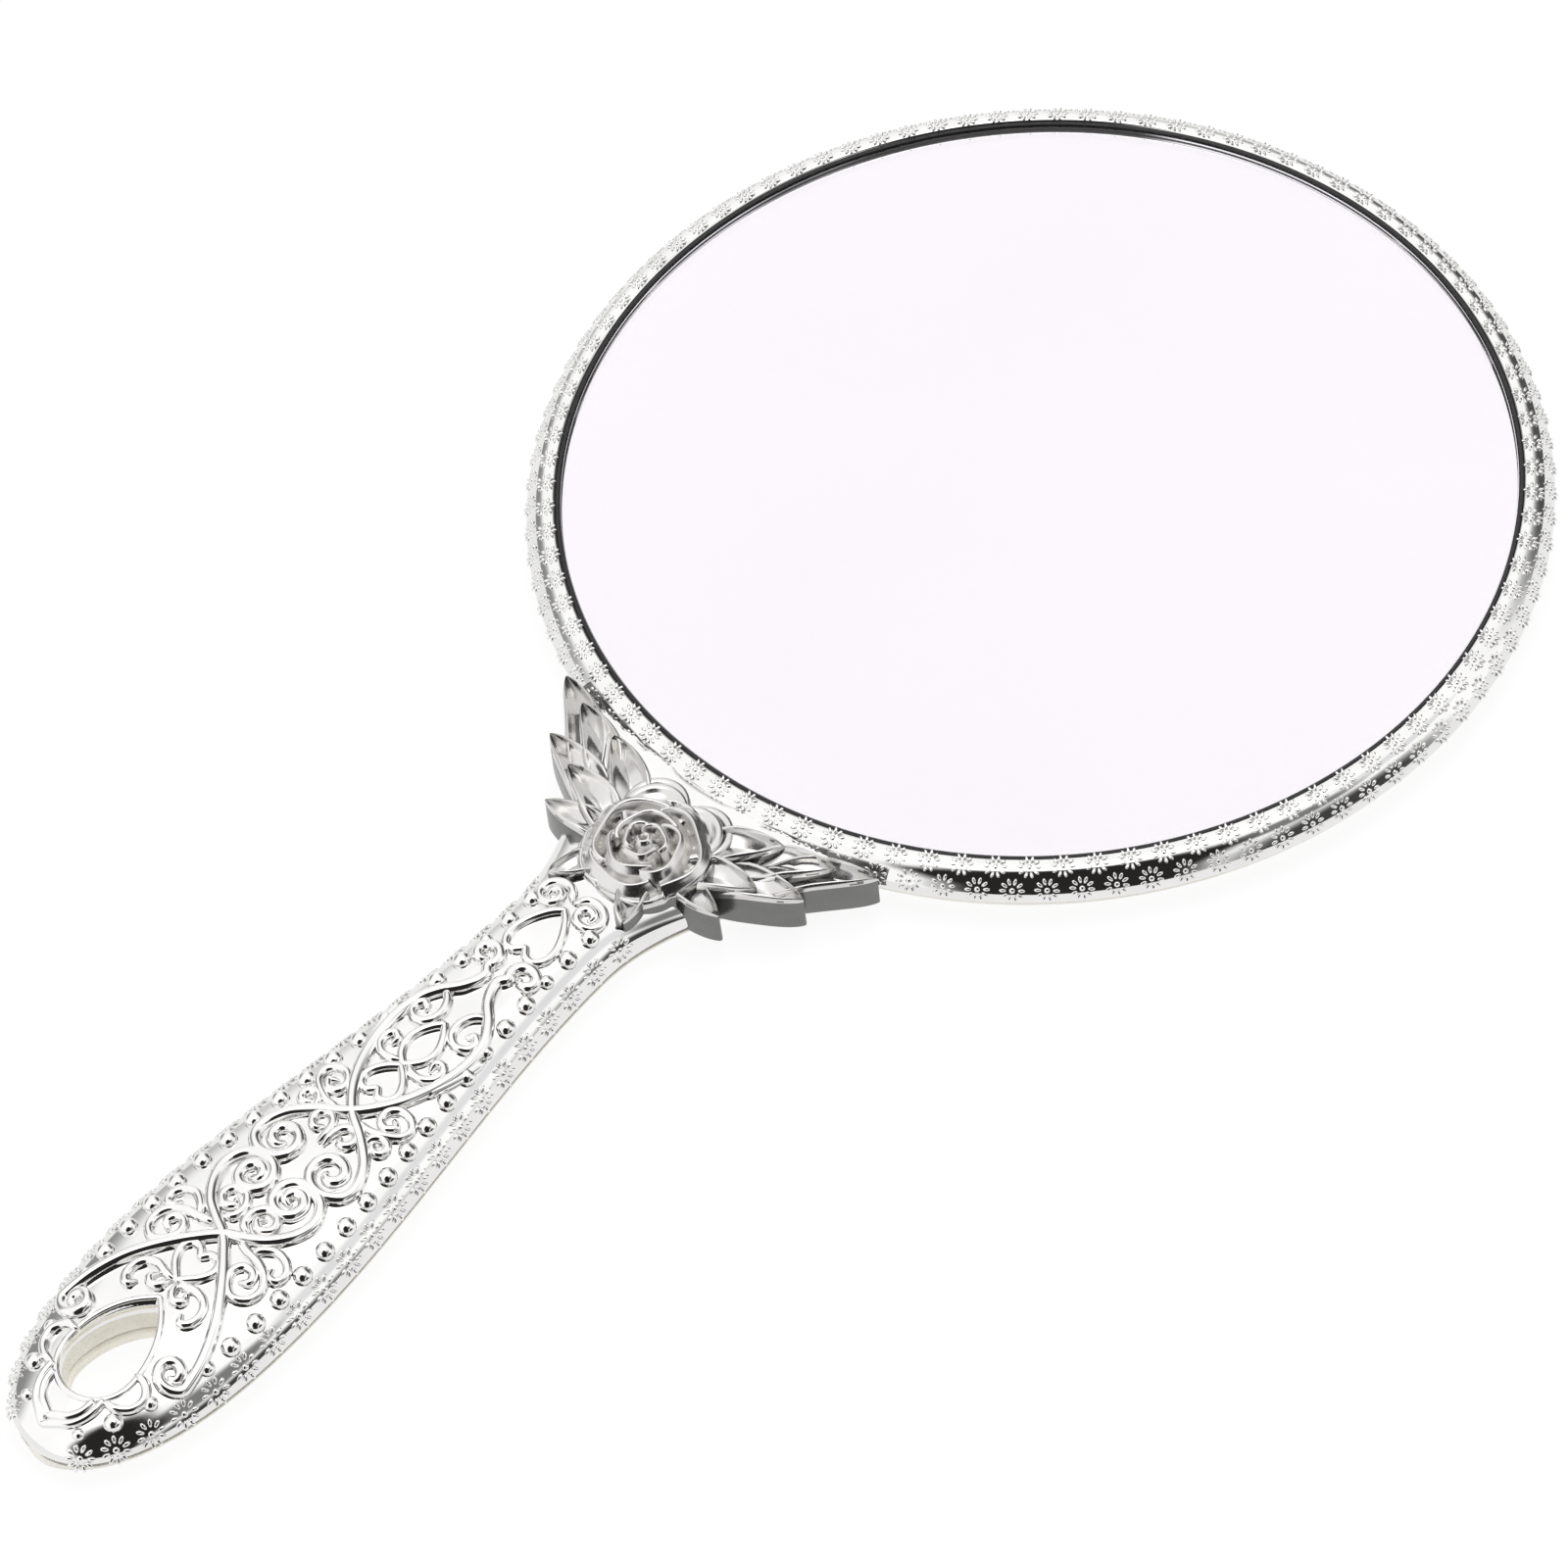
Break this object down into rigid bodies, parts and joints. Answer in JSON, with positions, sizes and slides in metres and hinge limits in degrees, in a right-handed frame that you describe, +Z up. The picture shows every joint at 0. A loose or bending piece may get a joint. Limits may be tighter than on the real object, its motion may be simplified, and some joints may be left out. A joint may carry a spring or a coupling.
{
  "type": "hand mirror",
  "caption": "Hand mirror with a round glass in a plated shell, a rose and leaf ornament at the neck and a flared handle with a hanging hole",
  "frame": {"origin": "bottom centre of the bounding box, the mirror lying on its back", "axes": "+Z up and out of the glass, +Y from the handle toward the head, +X across; the outline is symmetric about X = 0"},
  "size_m": [0.1406, 0.2632, 0.0119],
  "materials": {
    "front_shell": "bright silver plating on moulded plastic",
    "back_shell": "ivory plastic, semi-gloss",
    "mirror_glass": "polished clear glass",
    "mirror_coat": "silvered coat with backing paint",
    "edge_seal": "black, matte",
    "foam_pad": "white foam tape",
    "rose_ornament": "satin silver plating on moulded plastic"
  },
  "bodies": {
    "root": {"front_shell": "front_shell", "back_shell": "back_shell", "mirror_glass": "mirror_glass", "mirror_coat": "mirror_coat", "edge_seal": "edge_seal", "foam_pad_1": "foam_pad", "foam_pad_2": "foam_pad", "foam_pad_3": "foam_pad", "foam_pad_4": "foam_pad", "rose_ornament": "rose_ornament"}
  },
  "joints": []
}
